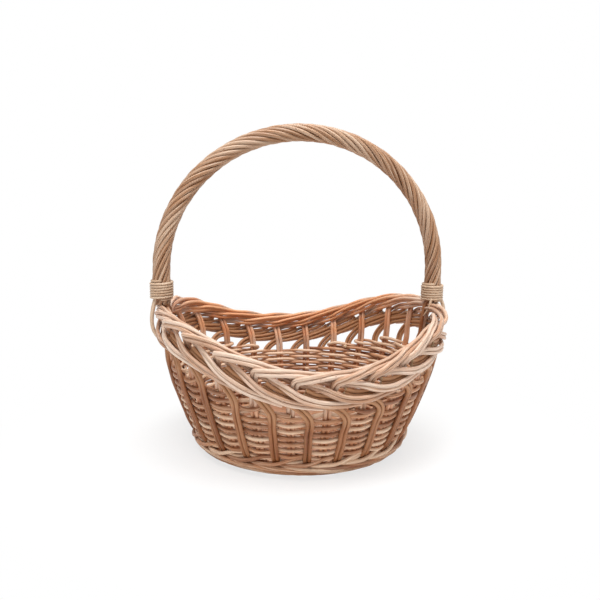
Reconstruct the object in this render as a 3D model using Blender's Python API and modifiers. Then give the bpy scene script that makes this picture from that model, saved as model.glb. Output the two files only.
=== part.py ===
"""Mushroom foraging basket of willow, with an open side weave, a plaited saddle rim and a fixed roped handle.

Metres, +Z up. The origin is on the table at the middle of the foot. The handle spans along X and the
front of the basket faces -Y. Stations are counted anticlockwise from above, one for each pair of
stakes, and station 0 is at the front.
"""

import math

import bmesh
import bpy
import numpy as np

# The side. Its radii run to the middle of the woven wall.
FOOT_RADIUS = 0.124
MIDDLE_RADIUS = 0.164
MIDDLE_HEIGHT = 0.100
MOUTH_RADIUS = 0.189
MOUTH_HEIGHT = 0.200
FIT_GAP = 0.0003
# The handle's legs push the mouth a little wider where they stand.
LEG_SPREAD = 0.003
LEG_SPREAD_SHARPNESS = 12

# The saddle: the rim's top edge is low at the front and back, and high at the handle.
RIM_LOW = 0.144
RIM_HIGH = 0.191
SADDLE_SHARPNESS = 2.25

# The stakes stand in pairs, by turns in the middle of the weave and outside it.
STAKE_COUNT = 24
STAKE_TURN_SHARE = 0.13
ROD_RADIUS = 0.00245

# The side weave: one rod after another, laid as a climbing spiral in front of an inner pair of stakes
# and behind the next.
WEAVER_RADIUS = 0.0021
WEAVE_ROWS = 15
OPEN_BAND = 0.013

# The plaited rim, from the middle of its lowest rods to the middle of its highest.
RIM_BAND = 0.043
PLAIT_LAYER = 0.0053

# The foot border and the base inside it.
FOOT_HEIGHT = 0.016
FOOT_FLAT_WIDTH = 0.010
FOOT_INNER_REACH = 0.0085
FOOT_OUTER_REACH = 0.0090
FOOT_ROPE_DEPTH = 0.0022
FOOT_EDGE_HEIGHT = 0.004
BASE_LIFT = 0.003
BASE_STICK_COUNT = 16
BASE_STICK_WIDTH = 0.006
BASE_STICK_THICKNESS = 0.004
BASE_WEAVE_THICKNESS = 0.0040
BASE_RIB_COUNT = 6
BASE_RIB_DEPTH = 0.0012

# The handle: a bent bow, with a layer of twisted rods laid round it above the rim. Its legs run up from
# the rim's top to the foot of the arch.
HANDLE_HALF_SPAN = 0.180
HANDLE_LEG_LENGTH = 0.041
HANDLE_RISE = 0.176
HANDLE_RADIUS = 0.0112
HANDLE_ROD_COUNT = 10
HANDLE_GROOVE = 0.0015
HANDLE_TWIST_LENGTH = 0.142
HANDLE_ROPING_LIFT = 0.0025
BOW_RADIUS = 0.0060
BOW_TIP_RADIUS = 0.0035
BOW_END_HEIGHT = 0.112

# The bindings of cane round the handle's legs.
CANE_RADIUS = 0.0014
BINDING_TURNS = 7
BINDING_LIFT = 0.0015
BINDING_LENGTH = 0.0296
TIE_RADIUS = 0.0026
TIE_END_REACH = 0.008

# Shares chosen by hand.
# A pair of rods side by side: places across the pair and out of it, in rod radii.
PAIR_SECTION_SHARES = (
    (-2.0, 0.0), (-1.0, 1.0), (0.0, 0.35), (1.0, 1.0),
    (2.0, 0.0), (1.0, -1.0), (0.0, -0.35), (-1.0, -1.0),
)
# How a pair of inner rods runs through the plait: stations past its own, height in rim bands, distance
# out of the wall in layers of the plait, and the pair's own turn in radians. It hooks over to the
# outside, runs along the top, lies on the inside past two stations and comes out again to the low edge.
PLAIT_SHARES = (
    (0.08, 0.10, -0.55, 0.00), (0.09, 0.43, -0.71, 0.00), (0.20, 0.68, 0.21, 0.00),
    (0.24, 0.77, 0.90, 0.12), (0.50, 0.85, 0.92, 0.05), (0.80, 0.90, 0.55, -0.08),
    (1.12, 0.95, -0.33, -0.49), (1.63, 0.95, -0.65, -0.59), (2.09, 0.94, -1.34, -0.67),
    (2.62, 0.90, -1.51, -0.68), (3.14, 0.69, -1.30, 0.12), (3.70, 0.67, -0.22, 0.35),
    (4.08, 0.56, 1.13, 0.06), (4.59, 0.38, 1.77, 0.08), (5.16, 0.16, 1.91, 0.11),
    (5.58, -0.07, 1.38, -0.16), (5.76, -0.11, -0.16, 0.02),
)
# How the top of a pair of outer rods leans back under the plait, in the same measures.
LEAN_SHARES = (
    (-0.26, -0.12, 0.72, 0.00), (-0.41, 0.06, 0.62, 0.00), (-1.15, 0.27, 0.50, 0.00),
    (-1.65, 0.35, 0.71, 0.00), (-2.10, 0.52, 0.41, 0.00),
)
BOW_TAPER_SHARE = 0.35

BOW_SIDES = 6
BOW_STEPS = 20
ROPING_LEG_STEPS = 2
ROPING_STEPS = 41
BINDING_LOOP_POINTS = 12
FOOT_STEPS_PER_STAKE = 3
BASE_STEPS = 24

PALE_WILLOW = ("pale_willow", (0.66, 0.50, 0.33, 1.0), 0.45)
CREAM_WILLOW = ("cream_willow", (0.62, 0.42, 0.29, 1.0), 0.45)
TAN_WILLOW = ("tan_willow", (0.42, 0.24, 0.13, 1.0), 0.50)


def start_scene():
    """An empty scene with a collection for the basket and one for its cutters."""
    for thing in list(bpy.data.objects):
        bpy.data.objects.remove(thing, do_unlink=True)
    made = []
    for name in ("mushroom_basket", "cutters"):
        collection = bpy.data.collections.new(name)
        bpy.context.scene.collection.children.link(collection)
        made.append(collection)
    return made


def material_of(recipe):
    name, colour, roughness = recipe
    found = bpy.data.materials.get(name)
    if found:
        return found
    material = bpy.data.materials.new(name)
    material.use_nodes = True
    shader = material.node_tree.nodes["Principled BSDF"]
    shader.inputs["Base Color"].default_value = colour
    shader.inputs["Roughness"].default_value = roughness
    shader.inputs["Metallic"].default_value = 0.0
    return material


def wall_radius(height):
    """Radius of the middle of the wall: a parabola through the foot, the middle and the mouth."""
    rise = height / MOUTH_HEIGHT
    middle = MIDDLE_HEIGHT / MOUTH_HEIGHT
    spread = MOUTH_RADIUS - FOOT_RADIUS
    bulge = (MIDDLE_RADIUS - FOOT_RADIUS - spread * middle) / (middle * (middle - 1))
    return FOOT_RADIUS + spread * rise + bulge * rise * (rise - 1)


def station_angle(station):
    return 2 * math.pi * (station + STAKE_TURN_SHARE) / STAKE_COUNT - math.pi / 2


def rim_top(angle):
    """Height of the rim's top edge."""
    nearness = abs(math.cos(angle)) ** SADDLE_SHARPNESS
    return RIM_LOW + (RIM_HIGH - RIM_LOW) * math.sin(math.pi / 2 * nearness)


def rim_bottom(angle):
    """Height of the middle of the rim's lowest rods."""
    return rim_top(angle) - ROD_RADIUS - RIM_BAND


def leg_spread(angle, height):
    """How far the wall is pushed out near a leg of the handle, more so towards the mouth."""
    return LEG_SPREAD * abs(math.cos(angle)) ** LEG_SPREAD_SHARPNESS * (height / MOUTH_HEIGHT) ** 2


def wall_point(station, height, out):
    """A point of the wall, moved out of its middle by a distance."""
    angle = station_angle(station)
    radius = wall_radius(height) + leg_spread(angle, height) + out
    return (radius * math.cos(angle), radius * math.sin(angle), height)


def weaver_swing():
    """How far the weaver lies from the wall's middle at an inner pair of stakes, so that it clears them."""
    flare = (MIDDLE_RADIUS - FOOT_RADIUS) / MIDDLE_HEIGHT
    slant = math.sqrt(1 + flare * flare)
    spacing = 2 * math.pi * FOOT_RADIUS / STAKE_COUNT
    needed = (ROD_RADIUS + WEAVER_RADIUS + 2 * FIT_GAP) * slant
    chord_drop = ROD_RADIUS * math.tan(math.pi / STAKE_COUNT)
    return (needed + chord_drop) / (1 - 2 * ROD_RADIUS / spacing)


def outer_offset():
    """How far outside the wall's middle the outer stakes lie, where the weaver crosses from side to side."""
    chord_drop = FOOT_RADIUS * (1 - math.cos(math.pi / STAKE_COUNT))
    return weaver_swing() - chord_drop


def directions(points, closed=False):
    """The direction of a line at each of its points, halving the turn there."""
    steps = np.roll(points, -1, axis=0) - points
    steps /= np.maximum(np.linalg.norm(steps, axis=1), 1e-12)[:, None]
    before = np.roll(steps, 1, axis=0)
    if not closed:
        steps[-1] = steps[-2]
        before[0] = steps[0]
        before[-1] = steps[-2]
    middle = steps + before
    return middle / np.linalg.norm(middle, axis=1)[:, None]


def sweep_rings(points, facing, sections, closed=False):
    """Rings of a section carried along a line. The section's second measure points along facing."""
    points = np.array(points, float)
    facing = np.array(facing, float)
    along = directions(points, closed)
    side = np.cross(facing, along)
    side /= np.linalg.norm(side, axis=1)[:, None]
    out = np.cross(along, side)
    sections = np.broadcast_to(sections, (len(points),) + np.shape(sections)[-2:])
    across = sections[:, :, 0, None] * side[:, None, :]
    return points[:, None, :] + across + sections[:, :, 1, None] * out[:, None, :]


def add_object(name, mesh, recipe, collection):
    mesh.materials.append(material_of(recipe))
    thing = bpy.data.objects.new(name, mesh)
    collection.objects.link(thing)
    return thing


def solid_from_rings(name, rings, recipe, collection, closed=False):
    """A closed solid whose skin joins each ring to the next, with flat ends unless the rings close."""
    shape = bmesh.new()
    loops = [[shape.verts.new(point) for point in ring] for ring in rings]
    count = len(loops)
    for index in range(count if closed else count - 1):
        here = loops[index]
        beyond = loops[(index + 1) % count]
        for corner in range(len(here)):
            following = (corner + 1) % len(here)
            shape.faces.new((here[corner], here[following], beyond[following], beyond[corner]))
    if not closed:
        shape.faces.new(loops[0])
        shape.faces.new(loops[-1])
    bmesh.ops.recalc_face_normals(shape, faces=shape.faces)
    mesh = bpy.data.meshes.new(name)
    shape.to_mesh(mesh)
    shape.free()
    mesh.shade_smooth()
    mesh.set_sharp_from_angle(angle=math.radians(60))
    return add_object(name, mesh, recipe, collection)


def tube(name, points, radius, rounding, recipe, collection, radii=None):
    """A round rod along a line of points, with filled ends."""
    curve = bpy.data.curves.new(name, "CURVE")
    curve.dimensions = "3D"
    curve.bevel_depth = radius
    curve.bevel_resolution = rounding
    curve.use_fill_caps = True
    curve.twist_mode = "MINIMUM"
    line = curve.splines.new("POLY")
    line.points.add(len(points) - 1)
    for index, point in enumerate(points):
        line.points[index].co = (*point, 1.0)
        line.points[index].radius = radii[index] if radii else 1.0
    line.use_smooth = True
    curve.materials.append(material_of(recipe))
    thing = bpy.data.objects.new(name, curve)
    collection.objects.link(thing)
    return thing


def outward(station):
    angle = station_angle(station)
    return (math.cos(angle), math.sin(angle), 0.0)


def pair_section(turn):
    """The section of a pair of rods, turned about its middle."""
    across, out = np.array(PAIR_SECTION_SHARES).T * ROD_RADIUS
    turned = (across * math.cos(turn) - out * math.sin(turn), across * math.sin(turn) + out * math.cos(turn))
    return np.stack(turned, axis=1)


def stake_pair(name, station, out, shares, recipe, collection):
    """A pair of rods from the foot to the rim, whose tops follow a table of shares through the rim."""
    foot = FOOT_HEIGHT + 2 * FIT_GAP
    shoulder = rim_bottom(station_angle(station)) - OPEN_BAND
    stations = [station] * 3
    heights = [foot, (foot + shoulder) / 2, shoulder]
    outs = [out] * 3
    turns = [0.0] * 3
    for past, up, away, turn in shares:
        place = station + past
        stations.append(place)
        heights.append(rim_bottom(station_angle(place)) + up * RIM_BAND)
        outs.append(away * PLAIT_LAYER)
        turns.append(turn)
    points = [wall_point(*place) for place in zip(stations, heights, outs)]
    facing = [outward(place) for place in stations]
    rings = sweep_rings(points, facing, [pair_section(turn) for turn in turns])
    # The foot end is cut level, so that it seats on the foot border.
    rings[0, :, 2] = heights[0]
    return solid_from_rings(name, rings, recipe, collection)


def side_weave(collection):
    """The spiral weaver: outside an inner pair, inside the next, and the other way round in the next row."""
    lowest = FOOT_HEIGHT + WEAVER_RADIUS + 2 * FIT_GAP
    points = []
    for station in range(WEAVE_ROWS * STAKE_COUNT + 1):
        row = station // STAKE_COUNT
        highest = rim_bottom(station_angle(station)) - OPEN_BAND - WEAVER_RADIUS
        climbed = station / (WEAVE_ROWS * STAKE_COUNT)
        outside = (station % STAKE_COUNT + row) % 2 == 0
        swing = weaver_swing() if outside else -weaver_swing()
        height = lowest + climbed * (highest - lowest)
        if station > 0 and station % STAKE_COUNT == 0:
            # Each row begins on the side where the row before it ended, so it crosses the wall between.
            points.append(wall_point(station - 0.5, height, 0.0))
        points.append(wall_point(station, height, swing))
    return tube("side_weave", points, WEAVER_RADIUS, 0, CREAM_WILLOW, collection)


def foot_border(collection):
    """The roped border that the basket stands on, flat beneath and flat above where the stakes seat."""
    steps = STAKE_COUNT * FOOT_STEPS_PER_STAKE
    base = wall_radius(0)
    rings = []
    for step in range(steps):
        station = step / FOOT_STEPS_PER_STAKE
        angle = station_angle(station)
        lay = 2 * math.pi * (station + 0.5)
        low_swell = FOOT_ROPE_DEPTH * math.sin(lay)
        high_swell = FOOT_ROPE_DEPTH * math.sin(lay - math.pi / 2)
        profile = (
            (base - FOOT_INNER_REACH, 0.0),
            (base - FOOT_INNER_REACH + FOOT_FLAT_WIDTH, 0.0),
            (base + FOOT_OUTER_REACH / 2 + low_swell, FOOT_EDGE_HEIGHT),
            (base + FOOT_OUTER_REACH + high_swell, FOOT_HEIGHT / 2 + FOOT_EDGE_HEIGHT / 2),
            (base + FOOT_OUTER_REACH, FOOT_HEIGHT),
            (base - FOOT_INNER_REACH, FOOT_HEIGHT),
        )
        rings.append([(r * math.cos(angle), r * math.sin(angle), z) for r, z in profile])
    return solid_from_rings("foot_border", rings, TAN_WILLOW, collection, closed=True)


def base_sticks(collection):
    """The star of sticks under the base weave, as a flat outline with a small round hub."""
    reach = wall_radius(0) - FOOT_INNER_REACH - FIT_GAP
    half_width = BASE_STICK_WIDTH / 2
    hub = half_width / math.sin(math.pi / BASE_STICK_COUNT)
    outline = []
    for stick in range(BASE_STICK_COUNT):
        angle = 2 * math.pi * stick / BASE_STICK_COUNT
        half_turn = math.pi / BASE_STICK_COUNT
        outline.append((hub * math.cos(angle - half_turn), hub * math.sin(angle - half_turn)))
        for side in (-half_width, half_width):
            along = math.sqrt(reach * reach - half_width * half_width)
            x = along * math.cos(angle) - side * math.sin(angle)
            y = along * math.sin(angle) + side * math.cos(angle)
            outline.append((x, y))
    curve = bpy.data.curves.new("base_sticks", "CURVE")
    curve.dimensions = "2D"
    curve.fill_mode = "BOTH"
    curve.extrude = BASE_STICK_THICKNESS / 2
    line = curve.splines.new("POLY")
    line.points.add(len(outline) - 1)
    for index, (x, y) in enumerate(outline):
        line.points[index].co = (x, y, 0.0, 1.0)
    line.use_cyclic_u = True
    curve.materials.append(material_of(TAN_WILLOW))
    sticks = bpy.data.objects.new("base_sticks", curve)
    sticks.location.z = BASE_LIFT + BASE_STICK_THICKNESS / 2
    collection.objects.link(sticks)
    return sticks


def base_weave(collection):
    """The woven disc on the sticks, turned, with a rib for each band of weaving."""
    reach = wall_radius(0) - FOOT_INNER_REACH - FIT_GAP
    bottom = BASE_LIFT + BASE_STICK_THICKNESS + FIT_GAP
    top = bottom + BASE_WEAVE_THICKNESS
    mesh = bpy.data.meshes.new("base_weave")
    profile = [(0.0, 0.0, top)]
    for rib in range(BASE_RIB_COUNT):
        profile.append(((rib + 0.5) * reach / BASE_RIB_COUNT, 0.0, top))
        if rib < BASE_RIB_COUNT - 1:
            profile.append(((rib + 1) * reach / BASE_RIB_COUNT, 0.0, top - BASE_RIB_DEPTH))
    profile += [(reach, 0.0, top - BASE_RIB_DEPTH), (reach, 0.0, bottom), (0.0, 0.0, bottom)]
    edges = [(index, index + 1) for index in range(len(profile) - 1)]
    mesh.from_pydata(profile, edges, [])
    weave = add_object("base_weave", mesh, CREAM_WILLOW, collection)
    turned = weave.modifiers.new("turned", "SCREW")
    turned.steps = BASE_STEPS
    turned.render_steps = BASE_STEPS
    turned.use_merge_vertices = True
    turned.merge_threshold = BASE_RIB_DEPTH / 100
    return weave


def leg_radius(height):
    """Radius of the bow, whose ends are thinned."""
    taper = BOW_END_HEIGHT + BOW_TAPER_SHARE * (RIM_HIGH - BOW_END_HEIGHT)
    return np.interp(height, (BOW_END_HEIGHT, taper), (BOW_TIP_RADIUS, BOW_RADIUS))


def pair_reach(turn):
    """How far a turned pair of rods reaches out from its middle line."""
    lean = abs(math.sin(turn))
    return ROD_RADIUS * (lean + max(lean, math.cos(turn)))


def leg_seat(height):
    """How far inside the wall's middle the leg rests: on the weave, and above it on the rim's strands."""
    share = STAKE_TURN_SHARE
    chord_drop = 4 * share * (1 - share) * MIDDLE_RADIUS * (1 - math.cos(math.pi / STAKE_COUNT))
    weave = weaver_swing() * (1 - 2 * share) + chord_drop + WEAVER_RADIUS
    strands = max(pair_reach(turn) - away * PLAIT_LAYER for _, _, away, turn in PLAIT_SHARES)
    weave_top = rim_bottom(0) - OPEN_BAND
    return np.interp(height, (weave_top, weave_top + RIM_BAND), (weave, strands))


def leg_wall(height):
    return wall_radius(height) + leg_spread(0, height)


def leg_inset(height):
    return leg_seat(height) + FIT_GAP + leg_radius(height)


def spring_height():
    """Height of the foot of the arch."""
    return RIM_HIGH + HANDLE_LEG_LENGTH


def roping_bottom():
    return RIM_HIGH + HANDLE_ROPING_LIFT


def binding_bottom():
    return roping_bottom() + BINDING_LIFT


def leg_lean():
    """How far the leg leans out, as an angle, from the rim's top to the foot of the arch."""
    tuck = leg_wall(RIM_HIGH) - leg_inset(RIM_HIGH)
    return math.atan2(HANDLE_HALF_SPAN - tuck, HANDLE_LEG_LENGTH)


def leg_middle(height):
    """Distance of the leg's middle line from the basket's axis: along the wall, then straight to the arch."""
    tuck = min(height, RIM_HIGH)
    return leg_wall(tuck) - leg_inset(tuck) + (height - tuck) * math.tan(leg_lean())


def handle_line(heights, arch_steps):
    """Points in the X-Z plane up the left leg at some heights, over the arch, and down the right leg."""
    right = [(leg_middle(height), height) for height in heights]
    left = [(-x, z) for x, z in right]
    arch = []
    for step in range(arch_steps + 1):
        angle = math.pi * (1 - step / arch_steps)
        x = HANDLE_HALF_SPAN * math.cos(angle)
        arch.append((x, spring_height() + HANDLE_RISE * math.sin(angle)))
    return np.array([(x, 0.0, z) for x, z in left + arch + right[::-1]])


def round_section(radius, sides):
    turns = 2 * math.pi * np.arange(sides) / sides
    return radius * np.stack([np.cos(turns), np.sin(turns)], axis=1)


def handle_bow(collection, cutters):
    """The bow, with thinned ends behind the rim, and the cutter of its bed in the roping."""
    weave_top = rim_bottom(0) - OPEN_BAND
    heights = (BOW_END_HEIGHT, (BOW_END_HEIGHT + weave_top) / 2, weave_top, weave_top + RIM_BAND, RIM_HIGH)
    line = handle_line(heights, BOW_STEPS)
    facing = np.tile((0.0, 1.0, 0.0), (len(line), 1))
    radii = leg_radius(line[:, 2])
    unit = round_section(1.0, BOW_SIDES)
    rings = sweep_rings(line, facing, unit[None] * radii[:, None, None])
    bow = solid_from_rings("handle_bow", rings, TAN_WILLOW, collection)
    bed_rings = sweep_rings(line, facing, round_section(BOW_RADIUS + 2 * FIT_GAP, BOW_SIDES))
    bed = solid_from_rings("bow_bed_cutter", bed_rings, TAN_WILLOW, cutters)
    bed.hide_render = True
    bed.display_type = "WIRE"
    return bow, bed


def roping_line():
    """The middle line of the roping. The lowest edge of its slanting end lies at the roping's bottom."""
    lowest = roping_bottom() + HANDLE_RADIUS * abs(math.sin(leg_lean()))
    heights = np.linspace(lowest, spring_height(), ROPING_LEG_STEPS + 1)[:-1]
    line = handle_line(heights, ROPING_STEPS)
    lengths = np.linalg.norm(np.diff(line, axis=0), axis=1)
    return line, np.concatenate([[0.0], np.cumsum(lengths)])


def handle_roping(bed, collection):
    """The layer of twisted rods round the bow, a fluted section that turns as it goes along."""
    line, travelled = roping_line()
    corners = 2 * HANDLE_ROD_COUNT
    reach = np.where(np.arange(corners) % 2 == 0, HANDLE_RADIUS, HANDLE_RADIUS - HANDLE_GROOVE)
    sections = []
    for distance in travelled:
        turn = 2 * math.pi * (np.arange(corners) / corners + distance / HANDLE_TWIST_LENGTH)
        sections.append(np.stack([reach * np.cos(turn), reach * np.sin(turn)], axis=1))
    facing = np.tile((0.0, 1.0, 0.0), (len(line), 1))
    rings = sweep_rings(line, facing, np.array(sections))
    roping = solid_from_rings("handle_roping", rings, TAN_WILLOW, collection)
    cut = roping.modifiers.new("bow bed", "BOOLEAN")
    cut.operation = "DIFFERENCE"
    cut.object = bed
    return roping


def binding(name, side, collection):
    """A close winding of cane round a handle leg: one unbroken tube, its ends running straight."""
    reach = HANDLE_RADIUS + CANE_RADIUS + 2 * FIT_GAP
    line, travelled = roping_line()
    facing = np.tile((0.0, 1.0, 0.0), (len(line), 1))
    loop = BINDING_LOOP_POINTS
    rings = sweep_rings(line, facing, round_section(reach, loop))
    # The lowest edge of the first turn, which slants with the leg, lies at the binding's bottom.
    low_edge = (reach + CANE_RADIUS) * abs(math.sin(leg_lean()))
    raised = binding_bottom() + low_edge - line[0, 2]
    start = raised / math.cos(leg_lean()) + CANE_RADIUS
    climb = (BINDING_LENGTH - 2 * CANE_RADIUS) / BINDING_TURNS
    points = []
    for step in range(BINDING_TURNS * loop + 1):
        corner = rings[:, (step + loop // 2) % loop]
        distance = start + climb * step / loop
        x, y, z = [np.interp(distance, travelled, corner[:, axis]) for axis in range(3)]
        points.append((-side * x, y, z))
    points = np.array(points)
    apart = np.linalg.norm(points[loop:] - points[:-loop], axis=1).min()
    print(name, "least gap between its turns in mm:", round(1000 * (apart - 2 * CANE_RADIUS), 2))
    for end, inner in ((0, 1), (-1, -2)):
        straight = points[end] - points[inner]
        straight *= 2 * CANE_RADIUS / np.linalg.norm(straight)
        tip = points[end] + straight
        points = np.vstack([tip, points]) if end == 0 else np.vstack([points, tip])
    return tube(name, points, CANE_RADIUS, 1, PALE_WILLOW, collection)


def handle_tie(name, side, collection):
    """The tie rod from the binding down over each strand of the rim, and in beneath the lowest one."""
    pasts, ups, aways, turns = np.array(PLAIT_SHARES).T
    place = STAKE_COUNT / 4 - STAKE_TURN_SHARE
    first = place - math.floor(place)
    places = []
    for past in (first, first + 3, first + 4):
        height = rim_bottom(0) + np.interp(past, pasts, ups) * RIM_BAND
        reach = pair_reach(np.interp(past, pasts, turns)) + TIE_RADIUS + 2 * FIT_GAP
        places.append((height, np.interp(past, pasts, aways) * PLAIT_LAYER + reach))
    places.insert(0, (binding_bottom() - TIE_RADIUS, places[0][1]))
    places.append((rim_bottom(0), places[-1][1]))
    places.append((rim_bottom(0) - PLAIT_LAYER, TIE_END_REACH))
    points = [(side * (leg_wall(height) + out), 0.0, height) for height, out in places]
    return tube(name, points, TIE_RADIUS, 1, PALE_WILLOW, collection)


def main():
    collection, cutters = start_scene()
    for pair in range(STAKE_COUNT):
        stake_pair(f"inner_stake_{pair:02d}", pair, 0.0, PLAIT_SHARES, CREAM_WILLOW, collection)
        stake_pair(f"outer_stake_{pair:02d}", pair + 0.5, outer_offset(), LEAN_SHARES, TAN_WILLOW, collection)
    side_weave(collection)
    foot_border(collection)
    base_sticks(collection)
    base_weave(collection)
    _, bed = handle_bow(collection, cutters)
    handle_roping(bed, collection)
    for side, hand in ((-1, "left"), (1, "right")):
        binding(f"handle_binding_{hand}", side, collection)
        handle_tie(f"handle_tie_{hand}", side, collection)


main()
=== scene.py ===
"""The looks of the mushroom foraging basket: every willow rod, the handle, the bindings and the studio.

Metres, +Z up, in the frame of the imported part. Stations are counted anticlockwise from above, one for
each pair of stakes, and station 0 is at the front.
"""

import math
import random

import bpy
import numpy as np
from mathutils import Matrix, Vector


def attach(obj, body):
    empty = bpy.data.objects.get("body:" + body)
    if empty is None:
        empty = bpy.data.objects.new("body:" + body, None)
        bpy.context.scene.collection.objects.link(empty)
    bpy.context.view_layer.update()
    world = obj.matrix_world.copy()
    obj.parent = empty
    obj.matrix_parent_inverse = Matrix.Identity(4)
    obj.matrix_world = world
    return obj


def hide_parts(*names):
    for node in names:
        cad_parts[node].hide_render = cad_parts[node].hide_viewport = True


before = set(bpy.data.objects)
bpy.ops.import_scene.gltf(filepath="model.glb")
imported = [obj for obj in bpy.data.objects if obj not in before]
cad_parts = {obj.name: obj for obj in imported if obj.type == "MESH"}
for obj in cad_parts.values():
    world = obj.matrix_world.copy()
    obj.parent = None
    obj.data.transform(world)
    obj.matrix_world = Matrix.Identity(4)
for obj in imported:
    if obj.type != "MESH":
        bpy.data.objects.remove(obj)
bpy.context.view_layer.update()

MM = 0.001

# The wall, as in the part's own source.
FOOT_RADIUS = 0.124
MIDDLE_RADIUS = 0.164
MIDDLE_HEIGHT = 0.100
MOUTH_RADIUS = 0.189
MOUTH_HEIGHT = 0.200
RIM_LOW = 0.144
RIM_HIGH = 0.191
SADDLE_SHARPNESS = 2.25
STAKE_COUNT = 24
STAKE_TURN_SHARE = 0.13
ROD_RADIUS = 0.00245
RIM_BAND = 0.043

# The rim is drawn in beside the handle's legs, from a height up and over a rise.
LEG_PINCH = 0.0042
LEG_PINCH_SHARPNESS = 8
LEG_PINCH_LOW = 0.095
LEG_PINCH_RISE = 0.05

# The handle, as in the part's own source.
HANDLE_HALF_SPAN = 0.180
HANDLE_LEG_LENGTH = 0.041
HANDLE_RISE = 0.176
HANDLE_RADIUS = 0.0112
HANDLE_ROD_COUNT = 10
HANDLE_TWIST_LENGTH = 0.142

# How far each kind of rod wanders from its line, and the length of its slowest wave.
INNER_WANDER = (0.22 * MM, 0.07)
RIB_WANDER = (0.20 * MM, 0.07)
WEAVER_WANDER = (0.12 * MM, 0.05)
FOOT_WANDER = (0.20 * MM, 0.06)
SPOKE_WANDER = (0.15 * MM, 0.06)
ROUND_WANDER = (0.10 * MM, 0.05)
CANE_WANDER = (0.12 * MM, 0.09)
TIE_WANDER = (0.10 * MM, 0.05)
# The lengths of a wander's three waves, as shares of the slowest, and the range of their sizes.
WAVE_SHARES = (1.0, 0.6, 0.37)
WAVE_SIZES = (0.3, 0.7)

# Rods of one kind differ in thickness within these shares of their radius.
INNER_THICKNESS = (0.95, 1.04)
RIB_THICKNESS = (0.96, 1.04)
WEAVER_THICKNESS = (0.96, 1.04)
ROPING_THICKNESS = (0.95, 1.03)

# Tones run from 0, the darkest, to 1, the palest. A range is drawn from for each pair of rods, or for
# each rod of the roping.
INNER_TONES = (0.3, 0.85)
RIB_TONES = (0.25, 0.75)
ROPING_TONES = (0.25, 0.8)
BOW_TONE = 0.45
STICK_TONE = 0.4
ROUND_TONE = 0.15
CANE_TONE = 0.6
TIE_TONE = 0.7
# How far a rod's tone may lie from its pair's, and from the tone that it is given.
INNER_TONE_SPREAD = 0.2
RIB_TONE_SPREAD = 0.15
TONE_SPREAD = 0.12

# Buds leave small swellings on a peeled rod: their spacing, their swell as a share, and their length.
BUD_FIRST = (0.01, 0.05)
BUD_SPACING = (0.03, 0.08)
BUD_SWELL = (0.03, 0.08)
BUD_LENGTH = 3.0 * MM

# A sawn end, in shares of the rod's radius: its disc, and how far the disc's edge and middle stand out.
END_DISC = 0.86
END_EDGE = 0.16
END_MIDDLE = 0.2
# How much of the pith's colour shows on the rod's skin, at the disc's edge and in its middle.
END_PITH = (0.0, 0.8, 1.0)

# A slanting direction that no rod starts along.
SLANT = (0.31, 0.22, 0.92)
# Each rod's grain begins at a place of its own, up to this far along in cm.
GRAIN_REACH = 400

drawn = random.Random(7)


def part_way(value, low, width):
    """0 up to a low value, 1 from a width above it, and even between."""
    return np.clip((value - low) / width, 0, 1)


def wall_radius(height):
    """Radius of the middle of the wall: a parabola through the foot, the middle and the mouth."""
    rise = height / MOUTH_HEIGHT
    middle = MIDDLE_HEIGHT / MOUTH_HEIGHT
    spread = MOUTH_RADIUS - FOOT_RADIUS
    bulge = (MIDDLE_RADIUS - FOOT_RADIUS - spread * middle) / (middle * (middle - 1))
    return FOOT_RADIUS + spread * rise + bulge * rise * (rise - 1)


def inwardness(line):
    """How far inside the middle of the wall each point of a line lies."""
    return wall_radius(line[:, 2]) - np.hypot(line[:, 0], line[:, 1])


def station_angle(station):
    return 2 * math.pi * (station + STAKE_TURN_SHARE) / STAKE_COUNT - math.pi / 2


def saddle(station):
    """How far up the saddle a station is: 0 at the front and back, 1 at the handle."""
    nearness = abs(math.cos(station_angle(station))) ** SADDLE_SHARPNESS
    return math.sin(math.pi / 2 * nearness)


def rim_bottom(station):
    """Height of the middle of the rim's lowest strand."""
    return RIM_LOW + (RIM_HIGH - RIM_LOW) * saddle(station) - ROD_RADIUS - RIM_BAND


def leg_pinch(angle, height):
    """How far the rim is drawn in where the handle's legs are tied to it."""
    rise = part_way(height, LEG_PINCH_LOW, LEG_PINCH_RISE)
    return LEG_PINCH * abs(math.cos(angle)) ** LEG_PINCH_SHARPNESS * rise * rise * (3 - 2 * rise)


def wall_point(station, height, out):
    """A point of the wall, moved out level from its middle."""
    angle = station_angle(station)
    radius = wall_radius(height) - leg_pinch(angle, height) + out
    return (radius * math.cos(angle), radius * math.sin(angle), height)


def weave_point(station, height, out):
    """A point of the wall, moved out square to it."""
    flare = (wall_radius(height + MM) - wall_radius(height - MM)) / (2 * MM)
    slant = math.hypot(1, flare)
    angle = station_angle(station)
    radius = wall_radius(height) - leg_pinch(angle, height) + out / slant
    return (radius * math.cos(angle), radius * math.sin(angle), height - out * flare / slant)


def foot_point(station, height, out):
    """A point near the foot, from a height and a distance out of the wall in mm."""
    angle = station_angle(station)
    radius = wall_radius(height * MM) + out * MM
    return (radius * math.cos(angle), radius * math.sin(angle), height * MM)


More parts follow.
